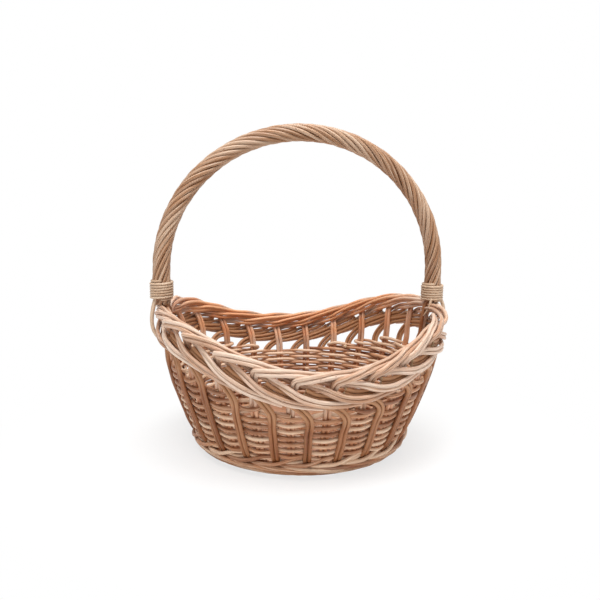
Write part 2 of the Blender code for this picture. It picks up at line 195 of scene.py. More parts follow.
def smooth_line(points, spacing):
    """Points at an even spacing along the natural cubic spline through some points.

    Measures that follow the three of the place are smoothed along with it."""
    points = np.asarray(points, float)
    steps = np.linalg.norm(np.diff(points[:, :3], axis=0), axis=1)
    knots = np.concatenate([[0.0], np.cumsum(steps)])
    count = len(points)
    matrix = np.eye(count)
    bends = np.zeros(points.shape)
    for index in range(1, count - 1):
        before, after = steps[index - 1], steps[index]
        matrix[index, index - 1:index + 2] = (before, 2 * (before + after), after)
        rise = (points[index + 1] - points[index]) / after
        bends[index] = 6 * (rise - (points[index] - points[index - 1]) / before)
    bends = np.linalg.solve(matrix, bends)
    places = np.linspace(0, knots[-1], max(2, round(knots[-1] / spacing)) + 1)
    cell = np.clip(np.searchsorted(knots, places, side="right") - 1, 0, count - 2)
    width = steps[cell][:, None]
    far = (places - knots[cell])[:, None]
    near = width - far
    straight = points[cell] * near / width + points[cell + 1] * far / width
    lift = bends[cell] * (near ** 3 / width - near * width)
    lift = lift + bends[cell + 1] * (far ** 3 / width - far * width)
    return straight + lift / 6


def lengths_along(line):
    return np.concatenate([[0.0], np.cumsum(np.linalg.norm(np.diff(line, axis=0), axis=1))])


def tangents(line):
    along = np.gradient(line, axis=0)
    return along / np.linalg.norm(along, axis=1)[:, None]


def wobbled(line, amount, wave):
    """The line with a slow wander, as a grown rod has."""
    travelled = lengths_along(line)
    moved = np.array(line)
    for axis in range(3):
        for share in WAVE_SHARES:
            phase = drawn.uniform(0, 2 * math.pi)
            size = amount * drawn.uniform(*WAVE_SIZES) * math.sqrt(share)
            moved[:, axis] += size * np.sin(2 * math.pi * travelled / (wave * share) + phase)
    return moved


def steady_sides(along):
    """Directions square to a line that turn with it and don't spin round it."""
    side = np.zeros(along.shape)
    current = np.cross(along[0], SLANT)
    for index, ahead in enumerate(along):
        current = current - ahead * np.dot(current, ahead)
        current /= np.linalg.norm(current)
        side[index] = current
    return side


class Rods:
    """Round rods gathered into one mesh, with the measures that their material reads."""

    def __init__(self):
        self.points = []
        self.faces = []
        self.grain = []
        self.tint = []
        self.cut = []
        self.warmth = []
        self.total = 0

    def add(self, line, radius, sides=10, tint=None, warmth=0.0, lighter=0.0):
        """A rod along a line. Its radius, warmth and lightness are one number or one for each point."""
        line = np.asarray(line, float)
        count = len(line)
        radii = np.broadcast_to(np.asarray(radius, float), (count,)).copy()
        travelled = lengths_along(line)
        along = tangents(line)
        place = drawn.uniform(*BUD_FIRST)
        while place < travelled[-1]:
            radii *= 1 + drawn.uniform(*BUD_SWELL) * np.exp(-((travelled - place) / BUD_LENGTH) ** 2)
            place += drawn.uniform(*BUD_SPACING)
        side = steady_sides(along)
        up = np.cross(along, side)
        turns = 2 * math.pi * np.arange(sides) / sides
        ring = np.cos(turns)[None, :, None] * side[:, None, :] + np.sin(turns)[None, :, None] * up[:, None, :]
        skin = line[:, None, :] + radii[:, None, None] * ring
        seed = drawn.uniform(0, GRAIN_REACH)
        tone = drawn.random() if tint is None else tint + drawn.uniform(-TONE_SPREAD, TONE_SPREAD)
        tone = np.broadcast_to(tone + np.asarray(lighter, float), (count,))
        warmed = np.broadcast_to(np.asarray(warmth, float), (count,))
        # The grain runs in a circle round the rod and in centimetres along it.
        grain = np.zeros((count, sides, 3))
        grain[:, :, 0] = np.cos(turns)
        grain[:, :, 1] = np.sin(turns)
        grain[:, :, 2] = (travelled * 100)[:, None] + seed
        index = self.total + np.arange(count * sides).reshape(count, sides)
        here, beyond = index[:-1], index[1:]
        quads = np.stack([here, np.roll(here, -1, 1), np.roll(beyond, -1, 1), beyond], axis=2)
        self.points.append(skin.reshape(-1, 3))
        self.faces += quads.reshape(-1, 4).tolist()
        self.grain.append(grain.reshape(-1, 3))
        self.tint += np.repeat(tone, sides).tolist()
        self.cut += [0.0] * (count * sides)
        self.warmth += np.repeat(warmed, sides).tolist()
        self.total += count * sides
        for end, way in ((0, 1), (-1, -1)):
            inward = along[end] * way
            self._cap(skin[end], line[end], inward, radii[end], seed, tone[end], warmed[end], flip=way > 0)

    def _cap(self, ring, middle, inward, radius, seed, tone, warmth, flip):
        """A sawn end: a flat disc with a slightly rounded edge."""
        sides = len(ring)
        rim = middle + (ring - middle) * END_DISC - inward * radius * END_EDGE
        centre = middle - inward * radius * END_MIDDLE
        first = self.total
        turns = 2 * math.pi * np.arange(sides) / sides
        disc = np.stack([np.cos(turns), np.sin(turns), np.full(sides, seed)], axis=1)
        self.points.append(np.vstack([ring, rim, centre[None]]))
        self.grain.append(np.vstack([disc, disc * (END_DISC, END_DISC, 1), [[0, 0, seed]]]))
        self.tint += [tone] * (2 * sides + 1)
        outside, edge, inside = END_PITH
        self.cut += [outside] * sides + [edge] * sides + [inside]
        self.warmth += [warmth] * (2 * sides + 1)
        for corner in range(sides):
            following = (corner + 1) % sides
            outer = (first + corner, first + following)
            inner = (first + sides + corner, first + sides + following)
            wall = [outer[0], inner[0], inner[1], outer[1]]
            fan = [inner[0], first + 2 * sides, inner[1]]
            self.faces.append(wall if flip else wall[::-1])
            self.faces.append(fan if flip else fan[::-1])
        self.total += 2 * sides + 1

    def finish(self, name, material, slot, *nodes):
        """Makes the mesh object, which rides on the basket and stands for nodes of the part."""
        mesh = bpy.data.meshes.new(name)
        mesh.from_pydata(np.concatenate(self.points).tolist(), [], self.faces)
        mesh.shade_smooth()
        grain = mesh.attributes.new("grain", "FLOAT_VECTOR", "POINT")
        grain.data.foreach_set("vector", np.concatenate(self.grain).astype(np.float32).ravel())
        for label, values in (("tint", self.tint), ("cut", self.cut), ("warmth", self.warmth)):
            layer = mesh.attributes.new(label, "FLOAT", "POINT")
            layer.data.foreach_set("value", np.array(values, np.float32))
        mesh.materials.append(material)
        thing = bpy.data.objects.new(name, mesh)
        bpy.context.scene.collection.objects.link(thing)
        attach(thing, "root")
        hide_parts(*nodes)


def shade(red, green, blue):
    """A colour given in the numbers a picture shows, as the shader wants it."""
    values = []
    for part in (red, green, blue):
        part /= 255
        values.append(part / 12.92 if part <= 0.04045 else ((part + 0.055) / 1.055) ** 2.4)
    return (*values, 1.0)


def grey(level):
    return (level, level, level, 1.0)


def add_node(nodes, kind, **values):
    """A new shader node with some of its settings made."""
    made = nodes.new(kind)
    for label, value in values.items():
        setattr(made, label, value)
    return made


# The orange that the warmth multiplies the wood by: a painted warm shade on the inner side of the back rim,
# and the browner stems of the stakes; and the two colours of a sawn end.
SHADE_AND_STEM_ORANGE = (1.0, 0.60, 0.34, 1.0)
PITH_DARK = shade(190, 160, 120)
PITH_PALE = shade(232, 212, 180)

# The face of the wood: the reach of its roughness round a middle value, its relief and its gloss.
ROUGHNESS_SPREAD = (-0.09, 0.13)
BUMP_STRENGTH = 0.55
BUMP_HEIGHT = 0.35 * MM
BUMP_FINE_SHARE = 0.35
GLOSS = 0.45
# How rough each pattern of its colours is.
PATTERN_ROUGHNESS = 0.6


def willow(name, deep, middle, light, warm, roughness):
    """Peeled willow: long streaks, slow changes along each rod, bud marks, pale cut ends and a satin face."""
    material = bpy.data.materials.new(name)
    material.use_nodes = True
    nodes = material.node_tree.nodes
    links = material.node_tree.links
    shader = nodes["Principled BSDF"]

    def attribute(label):
        return add_node(nodes, "ShaderNodeAttribute", attribute_name=label)

    grain = attribute("grain").outputs["Vector"]
    tint = attribute("tint").outputs["Fac"]
    cut = attribute("cut").outputs["Fac"]
    warmth = attribute("warmth").outputs["Fac"]

    def noise(scale, stretch, detail):
        spread = add_node(nodes, "ShaderNodeMapping")
        spread.inputs["Scale"].default_value = (1.0, 1.0, stretch)
        links.new(grain, spread.inputs["Vector"])
        made = add_node(nodes, "ShaderNodeTexNoise")
        made.inputs["Scale"].default_value = scale
        made.inputs["Detail"].default_value = detail
        made.inputs["Roughness"].default_value = PATTERN_ROUGHNESS
        links.new(spread.outputs["Vector"], made.inputs["Vector"])
        return made.outputs["Fac"]

    def ramp(source, *stops):
        made = add_node(nodes, "ShaderNodeValToRGB")
        band = made.color_ramp
        while len(band.elements) < len(stops):
            band.elements.new(0.5)
        for element, (place, colour) in zip(band.elements, stops):
            element.position = place
            element.color = colour
        links.new(source, made.inputs["Fac"])
        return made.outputs["Color"]

    def mix(factor, first, second, blend="MIX"):
        made = add_node(nodes, "ShaderNodeMix", data_type="RGBA", blend_type=blend)
        for socket, value in ((made.inputs[0], factor), (made.inputs[6], first), (made.inputs[7], second)):
            if isinstance(value, (float, tuple)):
                socket.default_value = value
            else:
                links.new(value, socket)
        return made.outputs[2]

    # Each pattern has a scale, a stretch that makes it long where it is small, and a fineness.
    streaks = noise(2.6, 0.09, 4.0)
    patches = noise(0.55, 0.75, 3.0)
    fine = noise(9.0, 0.10, 3.0)
    marks = noise(1.1, 1.6, 1.0)
    colour = ramp(streaks, (0.28, deep), (0.47, middle), (0.72, light))
    colour = mix(ramp(patches, (0.42, grey(0.0)), (0.62, grey(0.55))), colour, warm)
    # Each rod is darker or paler than the next.
    colour = mix(ramp(tint, (0.0, grey(0.70)), (0.5, grey(0.0))), colour, deep)
    colour = mix(ramp(tint, (0.55, grey(0.0)), (1.0, grey(0.62))), colour, light)
    # Dark hairlines and bud marks.
    colour = mix(ramp(fine, (0.30, grey(0.5)), (0.45, grey(0.0))), colour, deep)
    colour = mix(ramp(marks, (0.70, grey(0.0)), (0.76, grey(0.55))), colour, deep)
    # Orange multiplied in by the warmth: painted warm shade inside the back rim, and the browner stems.
    colour = mix(warmth, colour, SHADE_AND_STEM_ORANGE, "MULTIPLY")
    pith = ramp(noise(2.0, 1.0, 2.0), (0.35, PITH_DARK), (0.65, PITH_PALE))
    colour = mix(cut, colour, pith)
    links.new(colour, shader.inputs["Base Color"])
    rough = add_node(nodes, "ShaderNodeMapRange")
    rough.inputs["To Min"].default_value = roughness + ROUGHNESS_SPREAD[0]
    rough.inputs["To Max"].default_value = roughness + ROUGHNESS_SPREAD[1]
    links.new(streaks, rough.inputs["Value"])
    links.new(rough.outputs["Result"], shader.inputs["Roughness"])
    bump = add_node(nodes, "ShaderNodeBump")
    bump.inputs["Strength"].default_value = BUMP_STRENGTH
    bump.inputs["Distance"].default_value = BUMP_HEIGHT
    links.new(mix(BUMP_FINE_SHARE, streaks, fine), bump.inputs["Height"])
    links.new(bump.outputs["Normal"], shader.inputs["Normal"])
    shader.inputs["Specular IOR Level"].default_value = GLOSS
    return material


# Five looks of willow: deep, middle, light and warm colour, and roughness.
CREAM = willow(
    "cream willow", shade(136, 82, 46), shade(204, 167, 138),
    shade(243, 228, 213), shade(208, 158, 124), 0.40)
WEAVE = willow(
    "weaver willow", shade(112, 54, 22), shade(206, 152, 112),
    shade(243, 218, 190), shade(192, 128, 82), 0.42)
TAN = willow(
    "tan willow", shade(98, 48, 18), shade(158, 100, 60),
    shade(192, 144, 104), shade(146, 84, 42), 0.46)
HANDLE = willow(
    "handle willow", shade(112, 64, 32), shade(178, 138, 106),
    shade(230, 210, 188), shade(168, 118, 76), 0.42)
PALE = willow(
    "pale willow", shade(138, 104, 74), shade(196, 166, 138),
    shade(230, 208, 184), shade(184, 150, 118), 0.44)

# The run of a pair of rods through the plaited rim: stations past its own, height over the middle of the
# lowest strand in mm, distance out of the wall in mm, and the turn of the pair about its run in radians.
INNER_RUN = (
    (0, -34.0, 0.0, 0.00), (0, -14.0, -0.3, 0.00), (0.013, -0.2, -2.5, 0.00), (0.036, 10.0, -3.2, 0.00),
    (0.078, 20.0, -1.7, 0.00), (0.12, 26.7, 0.4, 0.00), (0.153, 30.2, 2.3, 0.20), (0.22, 32.6, 4.9, 0.33),
    (0.448, 35.5, 5.3, 0.03), (0.734, 38.0, 3.1, -0.06), (0.97, 39.3, 0.7, -0.27),
    (1.227, 39.5, -2.0, -0.55), (1.594, 37.8, -4.7, -0.55), (2.047, 36.8, -7.1, -0.66),
    (2.531, 34.6, -8.1, -0.77), (2.852, 31.0, -7.8, -0.28), (3.179, 27.5, -6.0, -0.07),
    (3.501, 25.6, -2.2, 0.47), (3.841, 22.4, 3.6, 0.30), (4.085, 17.3, 7.6, -0.03),
    (4.324, 12.9, 10.0, 0.19), (4.557, 9.5, 11.0, -0.02), (4.798, 7.2, 11.1, 0.03),
    (5.039, 5.3, 10.0, 0.01), (5.306, 4.1, 8.2, 0.09), (5.561, 3.1, 6.9, 0.09), (5.82, 2.3, 6.5, 0.02),
)
OUTER_RUN = (
    (0, -34.0, 5.9, 0.00), (0, -16.0, 5.9, 0.00), (-0.105, -9.1, 4.7, 0.00), (-0.234, -3.8, 3.5, 0.00),
    (-0.47, 1.7, 2.2, 0.00), (-0.804, 5.0, 1.4, 0.00), (-1.13, 7.9, 1.9, 0.00), (-1.502, 11.4, 2.7, 0.00),
    (-1.919, 15.0, 2.6, 0.00), (-2.132, 19.1, 2.2, 0.00),
)
# Where a rib goes in behind the foot border: height in metres and distance out of the wall in mm.
RIB_FOOT = ((0.0195, 2.0), (0.0240, 3.0), (0.0300, 4.6), (0.0350, 5.4))

# Where the even part of a stem begins, the step between its points, and the spacing of the smooth line's.
INNER_STEM_LOW = 0.008
RIB_STEM_LOW = 0.040
STEM_STEP = 0.016
STAKE_SPACING = 2.6 * MM
# Radius of an inner rod at its foot and how much it tapers, in mm, and half of the slit in a pair.
INNER_ROD = 2.62
INNER_TAPER = 0.42
PAIR_SLIT = 0.05 * MM
# The radius of a rib's rods, half of the distance between them, and how far the pair lies out.
RIB_RADIUS = 2.5 * MM
RIB_HALF_WIDTH = 2.55 * MM
RIB_OUT = 5.9 * MM

# The painted warm shade on the inner side of the back rim, an orange that stands in for bounced light and
# shade there: its amount, and the reaches over which it comes up: towards the back, upwards and inwards,
# each from a first measure and over a width. It is a little paler too, a painted light, by a share of it.
BACK_WARM_SHADE = 0.9
WARM_SHADE_BACKWARDS = (0.0, 0.11)
WARM_SHADE_UPWARDS = (0.095, 0.02)
WARM_SHADE_INWARDS = (0.3 * MM, 3.0 * MM)
WARM_SHADE_PALER = 0.4
# The rust colour on a stake's stem, and the length over which it ends.
STEM_RUST = 0.62
STEM_RUST_END = 0.012
# Painted light on the ribs' tops, which lie in shade under the plait: how much paler they are, and the
# length past their stem from which that comes up.
RIB_TOP_PAINTED_LIGHT = 0.75
RIB_TOP_REACH = (0.01, 0.02)


def run_points(run, station):
    """The middle line of a pair through the rim and the pair's turn, from its table."""
    points = []
    for past, up, away, turn in run:
        place = station + past
        points.append((*wall_point(place, rim_bottom(place) + up * MM, away * MM), turn))
    return points


def stem_points(station, low, top, out):
    """The middle line of a pair's stem, at even steps below a top, with no turn."""
    steps = max(2, round((top - low) / STEM_STEP))
    return [(*wall_point(station, low + (top - low) * step / steps, out), 0.0) for step in range(steps)]


def pair_lines(course, half_gap):
    """Two lines side by side, lying in the face of the wall where the pair has no turn."""
    middle, turn = course[:, :3], course[:, 3:]
    along = tangents(middle)
    away = np.array(middle)
    away[:, 2] = 0
    away /= np.linalg.norm(away, axis=1)[:, None]
    side = np.cross(away, along)
    side /= np.linalg.norm(side, axis=1)[:, None]
    out = np.cross(along, side)
    across = np.cos(turn) * side + np.sin(turn) * out
    half = np.broadcast_to(np.asarray(half_gap, float), (len(middle),))[:, None]
    return middle + across * half, middle - across * half


def painted_back_warm_shade(line):
    """Painted warm shade, an orange for bounced light and shade: most on the inner side of the back rim."""
    back = part_way(line[:, 1], *WARM_SHADE_BACKWARDS)
    high = part_way(line[:, 2], *WARM_SHADE_UPWARDS)
    return BACK_WARM_SHADE * back * high * part_way(inwardness(line), *WARM_SHADE_INWARDS)


def stem_warmth(line, length):
    """The lower part of a stake, which stands in the weave, is browner than the strands of the rim."""
    return STEM_RUST * part_way(length - lengths_along(line), 0.0, STEM_RUST_END)


def inner_pairs():
    """The stakes that stand in the weave, whose tops are the strands of the plaited rim."""
    for pair in range(STAKE_COUNT):
        top = rim_bottom(pair) + INNER_RUN[0][1] * MM
        stem = stem_points(pair, INNER_STEM_LOW, top, 0.0)
        middle = smooth_line(stem + run_points(INNER_RUN, pair), STAKE_SPACING)
        travelled = lengths_along(middle[:, :3])
        radii = (INNER_ROD - INNER_TAPER * travelled / travelled[-1]) * MM
        rods = Rods()
        tone = drawn.uniform(*INNER_TONES)
        for line in pair_lines(middle, radii + PAIR_SLIT):
            thick = radii * drawn.uniform(*INNER_THICKNESS)
            tint = tone + drawn.uniform(-INNER_TONE_SPREAD, INNER_TONE_SPREAD)
            # Painted warm shade and a little painted light on the inner side of the back rim.
            painted_shade = painted_back_warm_shade(line)
            warmth = np.maximum(painted_shade, stem_warmth(line, rim_bottom(pair) - INNER_STEM_LOW))
            rods.add(wobbled(line, *INNER_WANDER), thick, tint=tint, warmth=warmth, lighter=WARM_SHADE_PALER * painted_shade)
        rods.finish(f"inner_rods_{pair:02d}", CREAM, "cream_willow", f"inner_stake_{pair:02d}")


def outer_pairs():
    """The ribs outside the weave, whose tops lean back under the plait and are painted paler there, a painted
    light in their shade.
    """
    for pair in range(STAKE_COUNT):
        place = pair + 0.5
        top = rim_bottom(place) + OUTER_RUN[0][1] * MM
        foot = [(*wall_point(place, height, out * MM), 0.0) for height, out in RIB_FOOT]
        stem = foot + stem_points(place, RIB_STEM_LOW, top, RIB_OUT)
        middle = smooth_line(stem + run_points(OUTER_RUN, place), STAKE_SPACING)
        rods = Rods()
        tone = drawn.uniform(*RIB_TONES)
        for line in pair_lines(middle, RIB_HALF_WIDTH):
            thick = RIB_RADIUS * drawn.uniform(*RIB_THICKNESS)
            tint = tone + drawn.uniform(-RIB_TONE_SPREAD, RIB_TONE_SPREAD)
            past_stem = lengths_along(line) - (top - RIB_FOOT[0][0])
            # Painted light on the rib's top, where the plait shades it.
            painted_light = RIB_TOP_PAINTED_LIGHT * part_way(past_stem, *RIB_TOP_REACH)
            rods.add(wobbled(line, *RIB_WANDER), thick, tint=tint, lighter=painted_light)
        rods.finish(f"outer_rods_{pair:02d}", TAN, "tan_willow", f"outer_stake_{pair:02d}")


# The rows of the side: the first one's height, their spacing at the front and what the sides add to it,
# and how far a weaver lies from the wall's middle at a stake.
WEAVE_LOW = 0.0187
ROW_FRONT = 0.00431
ROW_SIDE_EXTRA = 0.0002
WEAVER_SWING = 0.0047
# Random changes of height and distance out, in mm.
ROW_UNEVEN = 0.35
SWING_UNEVEN = 0.15
# Radius of a weaver's thick end and how much it tapers, in mm, and the spacing of its points.
WEAVER_ROD = 2.48
WEAVER_TAPER = 0.28
WEAVER_SPACING = 2.8 * MM
# How many stakes a rod passes, and the least number of half stations that is left for a last rod.
WEAVER_STAKES = (17, 23)
LAST_WEAVER_STEPS = 14
# Shifts up and out, in mm, where a new rod's thick end lies inside, over the thin end of the last.
THICK_END_SHIFT = (1.2, -3.0)
THIN_END_SHIFT = (-0.8, -2.0)

# The two long weavers: where the first starts, the turns that each makes, and the level of its start.
WEAVER_START = 18
WEAVER_TURNS = 9
WEAVER_FIRST_LEVEL = -2

# The packing: the highest full rows at the front and back of a side, how many stations the change
# between them takes to each side, where the short rows turn back, and how far round the stake they go.
FRONT_ROWS = 15.5
BACK_ROWS = 14.5
ROWS_CHANGE = 1.2
PACKING_TURNS = (11, 1, 10, 2, 9, 3, 8, 4)
PACKING_HOOK = 0.19

# Painted light and shade on the inner side of a weaver, paler near the rim where light falls in and darker
# low down where shade falls: the height over which it changes, how much paler it is above and darker
# below, the distance inside the wall where that is full, and the least share on the outer side.
INNER_LIGHT_CHANGE = (0.030, 0.055)
INNER_PAINTED_LIGHT_HIGH = 0.55
INNER_PAINTED_SHADE_LOW = 0.4
INNER_LIGHT_DEPTH = 3.0 * MM
OUTER_LIGHT_SHARE = -0.3


def row_height(level, station):
    return WEAVE_LOW + level * (ROW_FRONT + ROW_SIDE_EXTRA * saddle(station))


def painted_inner_light_and_shade(line):
    """Painted light and shade: the inner side of the weave is paler than the outer side near the rim, and
    darker low down.
    """
    high = part_way(line[:, 2], *INNER_LIGHT_CHANGE)
    share = np.clip(inwardness(line) / INNER_LIGHT_DEPTH, OUTER_LIGHT_SHARE, 1)
    return share * (INNER_PAINTED_LIGHT_HIGH * high - INNER_PAINTED_SHADE_LOW * (1 - high))


def side_of_stake(place, turn):
    """Where a weaver passes a place: 1 outside a stake, -1 inside it, and 0 between two stakes."""
    if place != round(place):
        return 0
    return 1 if (place + turn) % 2 == 0 else -1


def weave_rods(rods, course):
    """One weaver, given as stations, sides and levels, cut into rods whose ends overlap behind a stake."""
    points = []
    for place, swing, level in course:
        height = row_height(level, place) + drawn.uniform(-ROW_UNEVEN, ROW_UNEVEN) * MM
        out = swing * WEAVER_SWING + drawn.uniform(-SWING_UNEVEN, SWING_UNEVEN) * MM
        points.append([place, height, out])
    start = 0
    last = len(points) - 1
    while start < last:
        stop = min(last, start + 2 * drawn.randint(*WEAVER_STAKES))
        if last + 1 - stop < LAST_WEAVER_STEPS:
            stop = last
        piece = [list(point) for point in points[start:stop + 1]]
        if start > 0:
            piece[0][1] += THICK_END_SHIFT[0] * MM
            piece[0][2] += THICK_END_SHIFT[1] * MM
        if stop < last:
            piece[-1][1] += THIN_END_SHIFT[0] * MM
            piece[-1][2] += THIN_END_SHIFT[1] * MM
        line = smooth_line([weave_point(*point) for point in piece], WEAVER_SPACING)
        share = np.linspace(0, 1, len(line))
        thick = (WEAVER_ROD - WEAVER_TAPER * share) * MM * drawn.uniform(*WEAVER_THICKNESS)
        # The weaver's inner side takes painted light near the rim and painted shade low down.
        rods.add(wobbled(line, *WEAVER_WANDER), thick, sides=8, lighter=painted_inner_light_and_shade(line))
        start = stop - 1 if stop < last else stop


def side_weavers():
    """Two weavers that chase each other round the basket, each in front of one stake and behind the next."""
    for turn, name in enumerate("ab"):
        first = WEAVER_START + turn * STAKE_COUNT // 2
        last = first + WEAVER_TURNS * STAKE_COUNT
        course = []
        for step in range(2 * first, 2 * last + 1):
            place = step / 2
            level = WEAVER_FIRST_LEVEL + 2 * (place - first) / STAKE_COUNT
            course.append((place, side_of_stake(place, turn), level))
        rods = Rods()
        weave_rods(rods, course)
        rods.finish(f"side_weaver_{name}", WEAVE, "cream_willow", "side_weave")


def top_level(past):
    """Level of the highest full row at some stations past the front of this side."""
    climb = past / (STAKE_COUNT / 2)
    front = FRONT_ROWS + climb
    back = BACK_ROWS + climb
    share = min(1, max(0, (past - STAKE_COUNT / 4 + ROWS_CHANGE) / (2 * ROWS_CHANGE)))
    return front + (back - front) * share * share * (3 - 2 * share)


def packing_course(shift):
    """The stations, sides and levels of one side's short rows, from the front to the back and again."""
    course = []
    for row, (begin, end) in enumerate(zip(PACKING_TURNS, PACKING_TURNS[1:])):
        way = 1 if end > begin else -1
        # Each row after the first begins where the hook of the row before it ended.
        for step in range(1 if row else 0, 2 * abs(end - begin) + 1):
            past = begin + way * step / 2
            course.append((past + shift, side_of_stake(past, row + 1), top_level(past) + 1 + row))
        if row < len(PACKING_TURNS) - 2:
            level = top_level(end) + 1 + row
            course.append((end + shift + way * PACKING_HOOK, 0, level + 0.5))
            course.append((end + shift, -side_of_stake(end, row + 1), level + 1))
    return course


def side_packing():
    """Short rows that turn back round a stake at each end and fill the wall up to the saddle."""
    for name, shift in (("right", 0), ("left", STAKE_COUNT // 2)):
        rods = Rods()
        weave_rods(rods, packing_course(shift))
        rods.finish(f"side_packing_{name}", WEAVE, "cream_willow", "side_weave")


# The strands of the foot: stations past a rib, height in mm, and distance out of the wall in mm.
FOOT_TOP = (
    (-1.05, 18.6, 0.5), (-0.85, 19.0, 4.0), (-0.60, 19.8, 7.4), (-0.32, 20.2, 9.0), (-0.02, 21.2, 9.3),
    (0.25, 24.4, 8.0), (0.50, 27.8, 5.6), (0.72, 29.2, 3.6), (0.95, 29.2, 1.4), (1.15, 28.6, 0.6),
)
FOOT_MIDDLE = (
    (-1.10, 20.2, 0.5), (-0.80, 18.8, 4.6), (-0.45, 16.6, 7.4), (0.00, 14.7, 8.6), (0.44, 14.0, 8.8),
    (0.85, 12.5, 8.0), (1.25, 10.8, 5.6), (1.60, 9.0, 2.4), (1.90, 8.0, -1.0),
)
FOOT_LOWER = (
    (-1.20, 12.8, -0.5), (-0.85, 11.2, 3.4), (-0.45, 9.6, 6.0), (0.05, 8.2, 5.8), (0.50, 6.8, 4.4),
    (1.00, 5.2, 1.8), (1.45, 3.6, -1.8), (1.85, 3.0, -5.4),
)
FOOT_BOTTOM = (
    (-0.50, 5.8, -7.8), (-0.15, 3.9, -6.2), (0.25, 2.7, -4.6), (0.70, 2.5, -3.6), (1.15, 2.5, -3.8),
    (1.60, 2.6, -5.2), (2.00, 3.4, -7.4), (2.30, 4.8, -9.2),
)
# Name, table, radius of the thick end in mm, and the stations from a stake to where the table starts.
FOOT_KINDS = (
    ("top", FOOT_TOP, 2.45, 0.5), ("middle", FOOT_MIDDLE, 2.40, 0.5), ("lower", FOOT_LOWER, 2.40, 0.5),
    ("bottom", FOOT_BOTTOM, 2.30, 1.0),
)
# Their taper in mm, the spacing of their points, and the least height of their middle.
FOOT_TAPER = 0.25
FOOT_SPACING = 2.4 * MM
FOOT_LEAST_HEIGHT = 2.35 * MM


def foot_strands():
    """The rolled border that the basket stands on, one strand of each kind for each rib."""
    for name, table, thick, shift in FOOT_KINDS:
        rods = Rods()
        for rib in range(STAKE_COUNT):
            points = [foot_point(rib + shift + past, height, out) for past, height, out in table]
            line = wobbled(smooth_line(points, FOOT_SPACING), *FOOT_WANDER)
            line[:, 2] = np.maximum(line[:, 2], FOOT_LEAST_HEIGHT)
            share = np.linspace(0, 1, len(line))
            rods.add(line, (thick - FOOT_TAPER * share) * MM)
        rods.finish(f"foot_rods_{name}", WEAVE, "tan_willow", "foot_border")


# The base: how far it reaches, its height at the edge and how much it is domed.
BASE_REACH = 0.1240
BASE_EDGE_HEIGHT = 0.0074
BASE_DOME = 0.0018

# The crossed sticks: each way's number, spacing and radius, the half width of the cross, and the angle
# between two ends in degrees. Then an end's points, those over which it turns, how far short of the edge
# it stops, and how far one way lies over the base's middle and the other under it, up to a reach.
STICKS_EACH_WAY = 4
STICK_SPACING = 5.2 * MM
STICK_RADIUS = 2.45 * MM
BASE_CROSS = 0.019
STICK_FAN = 22.05
STICK_STEPS = 5
STICK_TURN_STEPS = 2
STICK_SHORT = 1.5 * MM
STICK_LAYER = 1.6 * MM
STICK_LAYER_REACH = 0.035
# Places on the straight part over the cross, as shares of its half length.
CROSS_SHARES = (0.35, 1.0)

# The rounds: their first radius, their spacing, how far they rise over a stick, their random change in
# mm, how far from the edge they end and stay, and the lengths in points that they are cut into. Then a
# rod's thick end and taper in mm, and the least height of its middle.
BASE_EYE = 0.0180
ROUND_PITCH = 4.15 * MM
ROUND_SWING = 3.6 * MM
ROUND_UNEVEN = 0.25
ROUND_END_MARGIN = 1.9 * MM
ROUND_EDGE_MARGIN = 1.6 * MM
ROUND_SPACING = 3.0 * MM
ROUND_POINTS = (260, 340)
LAST_ROUND_POINTS = 60
ROUND_ROD = 2.0
ROUND_TAPER = 0.25
ROUND_LEAST_HEIGHT = 2.2 * MM


def base_middle(radius):
    """Height of the middle of the base's thickness at a radius: the base is slightly domed."""
    return BASE_EDGE_HEIGHT + BASE_DOME * (1 - (radius / BASE_REACH) ** 2)


def stick_half(offset, fan, end, crosswise):
    """One half of a stick, straight over the cross and then out to its place in the star."""
    points = []
    square = math.atan2(offset, BASE_CROSS)
    span = BASE_REACH - BASE_CROSS - STICK_SHORT
    for share in CROSS_SHARES:
        points.append((BASE_CROSS * share, offset))
    for step in range(1, STICK_STEPS + 1):
        reach = BASE_CROSS + span * step / STICK_STEPS
        turned = square + (fan - square) * min(1, step / STICK_TURN_STEPS)
        points.append((reach * math.cos(turned), reach * math.sin(turned)))
    half = []
    for x, y in points:
        x *= end
        if crosswise:
            x, y = -y, x
        radius = math.hypot(x, y)
        layer = (STICK_LAYER if crosswise else -STICK_LAYER) * max(0, 1 - radius / STICK_LAYER_REACH)
        half.append((x, y, base_middle(radius) + layer))
    return half[::end]


def base_spokes():
    """Crossed sticks, opened out like a star."""
    spokes = Rods()
    for crosswise in (False, True):
        for stick in range(STICKS_EACH_WAY):
            past = stick - (STICKS_EACH_WAY - 1) / 2
            fan = math.radians(STICK_FAN * past)
            offset = past * STICK_SPACING
            points = stick_half(offset, fan, -1, crosswise) + stick_half(offset, fan, 1, crosswise)
            line = smooth_line(points, ROUND_SPACING)
            spokes.add(wobbled(line, *SPOKE_WANDER), STICK_RADIUS, tint=STICK_TONE)
    spokes.finish("base_spokes", TAN, "tan_willow", "base_sticks")


